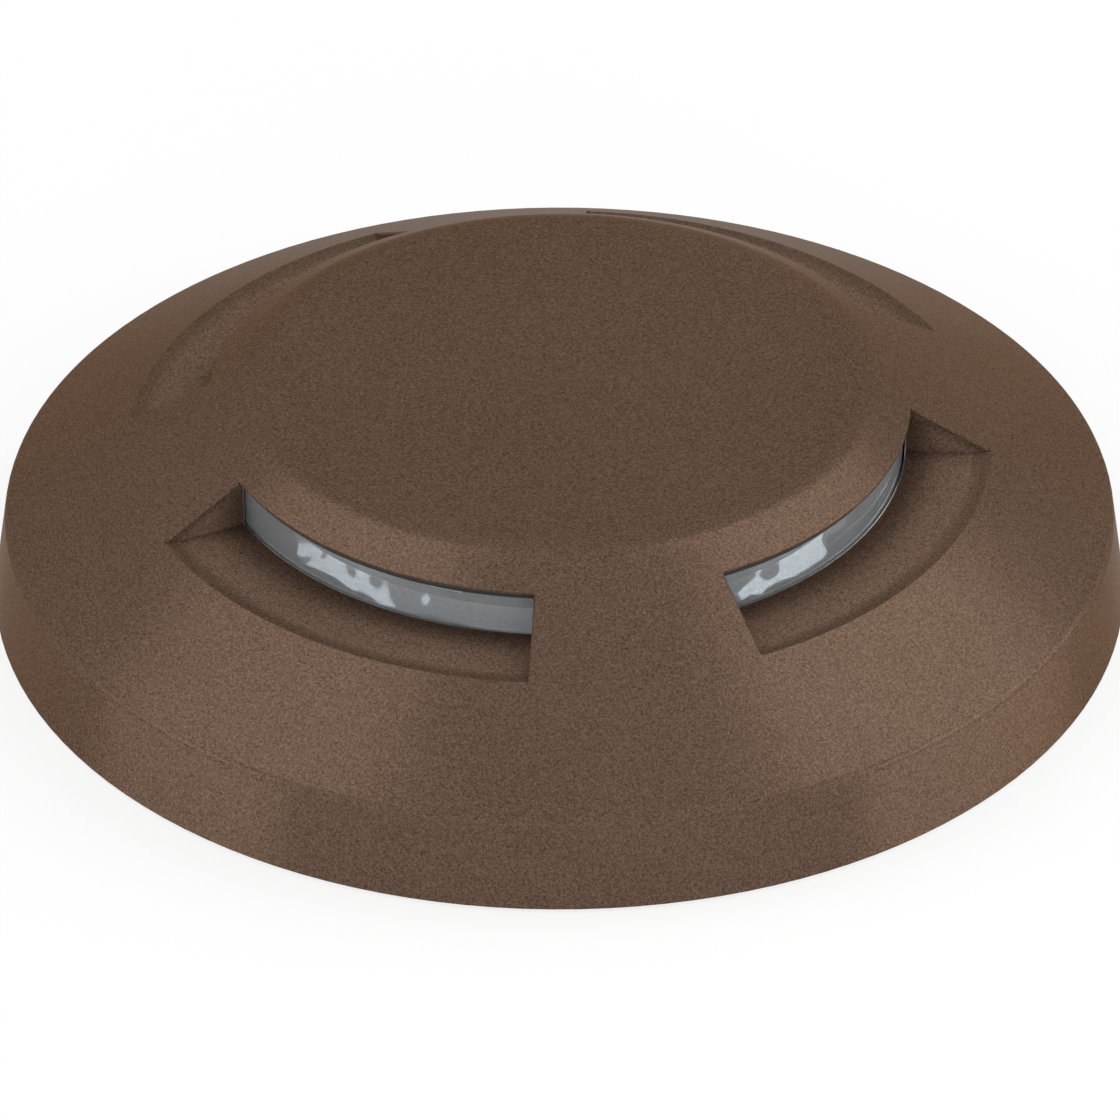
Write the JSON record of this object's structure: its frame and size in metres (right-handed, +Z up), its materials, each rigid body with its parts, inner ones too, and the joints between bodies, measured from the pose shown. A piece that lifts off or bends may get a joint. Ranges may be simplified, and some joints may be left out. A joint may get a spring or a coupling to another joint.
{
  "type": "surface-mount marker light",
  "caption": "Low round marker light with a coned cover and clear windows facing all sides, on a twist-lock mounting plate.",
  "frame": {"origin": "centre of the mounting surface under the light, at the bottom of the plate's rim", "axes": "+Z up out of the mounting surface through the crown; one window faces +X and one faces +Y"},
  "size_m": [0.127, 0.127, 0.0262],
  "materials": {
    "bronze_coat": "fine-texture bronze powder coat on die-cast aluminium",
    "clear_lens": "clear moulded polycarbonate, gloss",
    "black_rubber": "matte black rubber",
    "foam": "closed-cell foam",
    "cast_aluminium": "raw die-cast, satin",
    "stainless": "pressed stainless steel, brushed",
    "steel_screws": "plain stainless fasteners",
    "polished_reflector": "polished spun aluminium",
    "thermal_pad": "soft grey gap filler",
    "white_board": "aluminium-core board with white mask",
    "led_white": "white LED packages",
    "phosphor": "yellow phosphor fill",
    "black_plastic": "black moulded nylon",
    "pin_brass": "plated pins",
    "green_board": "glass-epoxy board with green mask",
    "can_aluminium": "bare aluminium cans",
    "ferrite": "grey-black ferrite",
    "copper": "enamelled copper wire",
    "terminal_plastic": "grey moulded nylon"
  },
  "bodies": {
    "mount": {"mounting_plate": "stainless"},
    "light_head": {"lock_studs": "stainless", "surface_gasket": "foam", "cover": "bronze_coat", "lens": "clear_lens", "crown_seal": "black_rubber", "flange_seal": "black_rubber", "reflector": "polished_reflector", "reflector_screws": "steel_screws", "led_pad": "thermal_pad", "led_board": "white_board", "led_board_screws": "steel_screws", "led_packages": "led_white", "led_phosphors": "phosphor", "led_socket": "black_plastic", "led_pins": "pin_brass", "pin_header": "black_plastic", "base": "cast_aluminium", "base_screws": "steel_screws", "base_seal": "black_rubber", "cable_grommet": "black_rubber", "driver_board": "green_board", "driver_screws": "steel_screws", "driver_capacitors": "can_aluminium", "inductor_core": "ferrite", "inductor_winding": "copper", "driver_chips": "black_plastic", "terminal_block": "terminal_plastic", "terminal_screws": "steel_screws"}
  },
  "joints": [
    {"name": "twist_lock", "type": "hinge", "parent": "mount", "child": "light_head", "pos_m": [0, 0, 0], "axis": [0, 0, 1], "range_deg": [0, 20]}
  ]
}
